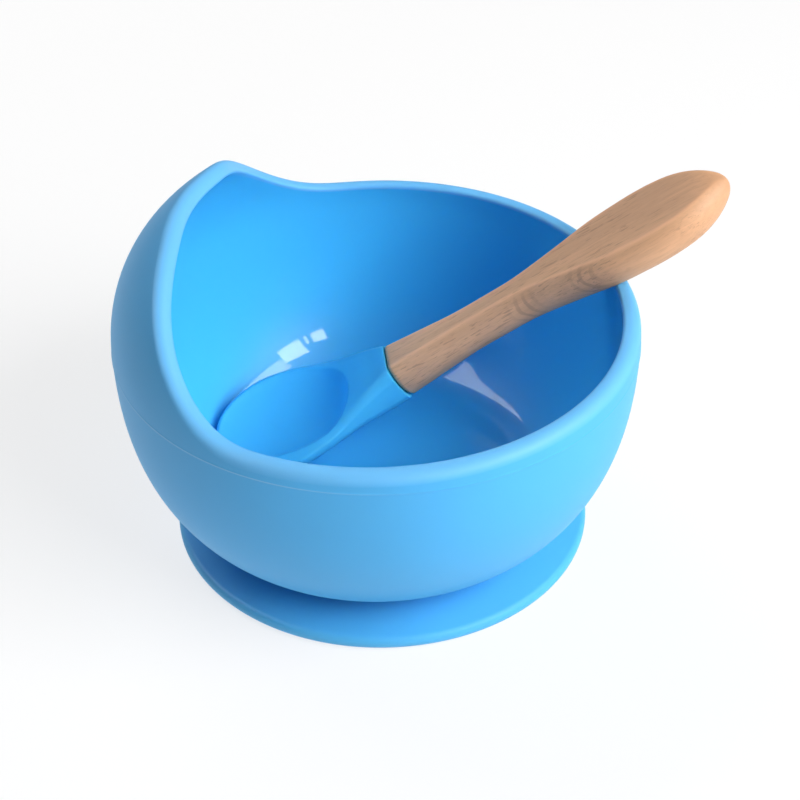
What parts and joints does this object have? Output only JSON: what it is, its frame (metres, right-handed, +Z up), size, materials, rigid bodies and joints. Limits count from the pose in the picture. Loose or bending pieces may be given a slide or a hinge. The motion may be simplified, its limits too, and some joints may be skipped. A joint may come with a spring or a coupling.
{
  "type": "suction bowl with spoon",
  "caption": "Soft feeding bowl with one high wave-shaped side and a suction cup below, and a spoon with a soft head on a wooden handle lying in it.",
  "frame": {"origin": "centre of the whole part's footprint, on the surface that the suction cup stands on", "axes": "+X from the wave side towards the spoon's handle, the longest side of the part; +Z up out of the bowl, the shortest side"},
  "size_m": [0.1399, 0.12, 0.0842],
  "materials": {
    "silicone": "soft matt silicone, sky blue",
    "spoon_silicone": "satin silicone, sky blue",
    "beech": "sanded and oiled beech"
  },
  "bodies": {
    "base": {"suction_cup": "silicone"},
    "bowl": {"bowl": "silicone"},
    "spoon": {"spoon_head": "spoon_silicone", "spoon_handle": "beech"}
  },
  "joints": [
    {"name": "bowl_press", "type": "slide", "parent": "base", "child": "bowl", "axis": [0, 0, -1], "range_m": [0, 0.002], "stiffness_N_per_m": 6000, "springref_m": -0.0003, "deforming": ["suction_cup"]},
    {"name": "spoon_lift", "type": "slide", "parent": "bowl", "child": "spoon", "axis": [0.6428, 0, 0.766], "range_m": [0, 0.11]}
  ]
}
